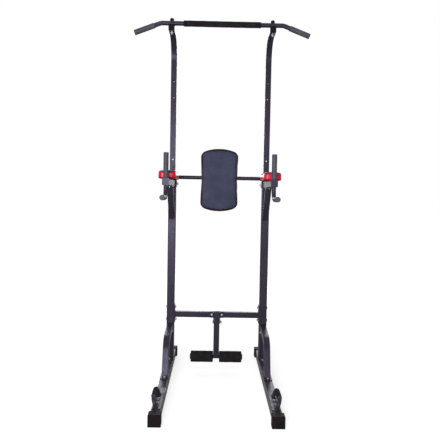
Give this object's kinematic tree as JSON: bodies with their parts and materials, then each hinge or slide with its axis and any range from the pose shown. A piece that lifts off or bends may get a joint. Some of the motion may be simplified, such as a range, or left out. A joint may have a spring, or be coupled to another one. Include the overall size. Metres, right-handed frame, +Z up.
{
  "type": "power tower",
  "caption": "Free-standing power tower: height-adjustable pull-up bar, padded back and arm rests, upright and dip handles, leg rollers and push-up handles on two rails.",
  "frame": {"origin": "on the floor at the middle of the base", "axes": "+Z up; the user stands on the -Y side and faces +Y; +X is at that user's right hand"},
  "size_m": [1.0904, 1.2, 2.2378],
  "materials": {
    "frame_black": "satin",
    "zinc": "satin",
    "black_plastic": "matte",
    "grip_rubber": "satin",
    "foam_black": "matte",
    "pad_red": "gloss",
    "pad_grey": "satin",
    "board": "matte"
  },
  "bodies": {
    "base_frame": {"arm_bolts": "zinc", "arm_end_plugs": "black_plastic", "backrest_board": "board", "backrest_bolts": "zinc", "backrest_bracket": "frame_black", "backrest_pad": "pad_grey", "backrest_tube": "frame_black", "cross_bolts": "zinc", "cross_member": "frame_black", "dip_grips": "grip_rubber", "feet": "black_plastic", "frame_bolts": "zinc", "guide_sleeves": "black_plastic", "left_arm": "frame_black", "left_arm_pad": "pad_red", "left_arm_strut": "frame_black", "left_base_rail": "frame_black", "left_brace": "frame_black", "left_handle_tube": "frame_black", "left_lower_post": "frame_black", "left_main_upright": "frame_black", "left_push_up_handle": "frame_black", "leg_bracket": "frame_black", "leg_bracket_bolts": "zinc", "leg_pivot_pin": "zinc", "lock_housings": "frame_black", "lock_springs": "zinc", "pad_boards": "board", "pad_bolts": "zinc", "pivot_clip": "zinc", "push_up_grips": "foam_black", "right_arm": "frame_black", "right_arm_pad": "pad_red", "right_arm_strut": "frame_black", "right_base_rail": "frame_black", "right_brace": "frame_black", "right_handle_tube": "frame_black", "right_lower_post": "frame_black", "right_main_upright": "frame_black", "right_push_up_handle": "frame_black", "spigots": "frame_black", "upright_grips": "grip_rubber", "upright_screws": "zinc"},
    "upper_frame": {"left_upper_upright": "frame_black", "right_upper_upright": "frame_black", "upper_plugs": "black_plastic", "pull_up_bar": "frame_black", "bar_centre_grip": "foam_black", "bar_end_grips": "grip_rubber", "bar_fasteners": "zinc", "bar_bolt_caps": "black_plastic"},
    "left_lock": {"left_lock_pin": "black_plastic"},
    "right_lock": {"right_lock_pin": "black_plastic"},
    "leg_arm": {"leg_post": "frame_black", "leg_plugs": "black_plastic", "roller_axle": "frame_black"},
    "left_roller": {"left_roller_foam": "foam_black", "left_roller_core": "black_plastic"},
    "right_roller": {"right_roller_foam": "foam_black", "right_roller_core": "black_plastic"}
  },
  "joints": [
    {"name": "height_slide", "type": "slide", "parent": "base_frame", "child": "upper_frame", "axis": [0, 0, 1], "range_m": [-0.63, 0.1]},
    {"name": "left_lock_pull", "type": "slide", "parent": "base_frame", "child": "left_lock", "axis": [0, 1, 0], "range_m": [0, 0.01], "stiffness_N_per_m": 800, "springref_m": -0.005, "deforming": ["lock_springs"]},
    {"name": "right_lock_pull", "type": "slide", "parent": "base_frame", "child": "right_lock", "axis": [0, 1, 0], "range_m": [0, 0.01], "stiffness_N_per_m": 800, "springref_m": -0.005, "deforming": ["lock_springs"]},
    {"name": "leg_arm_swing", "type": "hinge", "parent": "base_frame", "child": "leg_arm", "pos_m": [0, 0.301, 0.316], "axis": [1, 0, 0], "range_deg": [0, 80]},
    {"name": "left_roller_spin", "type": "hinge", "parent": "leg_arm", "child": "left_roller", "pos_m": [-0.0945, 0.301, 0.081], "axis": [1, 0, 0], "continuous": true},
    {"name": "right_roller_spin", "type": "hinge", "parent": "leg_arm", "child": "right_roller", "pos_m": [0.0945, 0.301, 0.081], "axis": [1, 0, 0], "continuous": true}
  ]
}
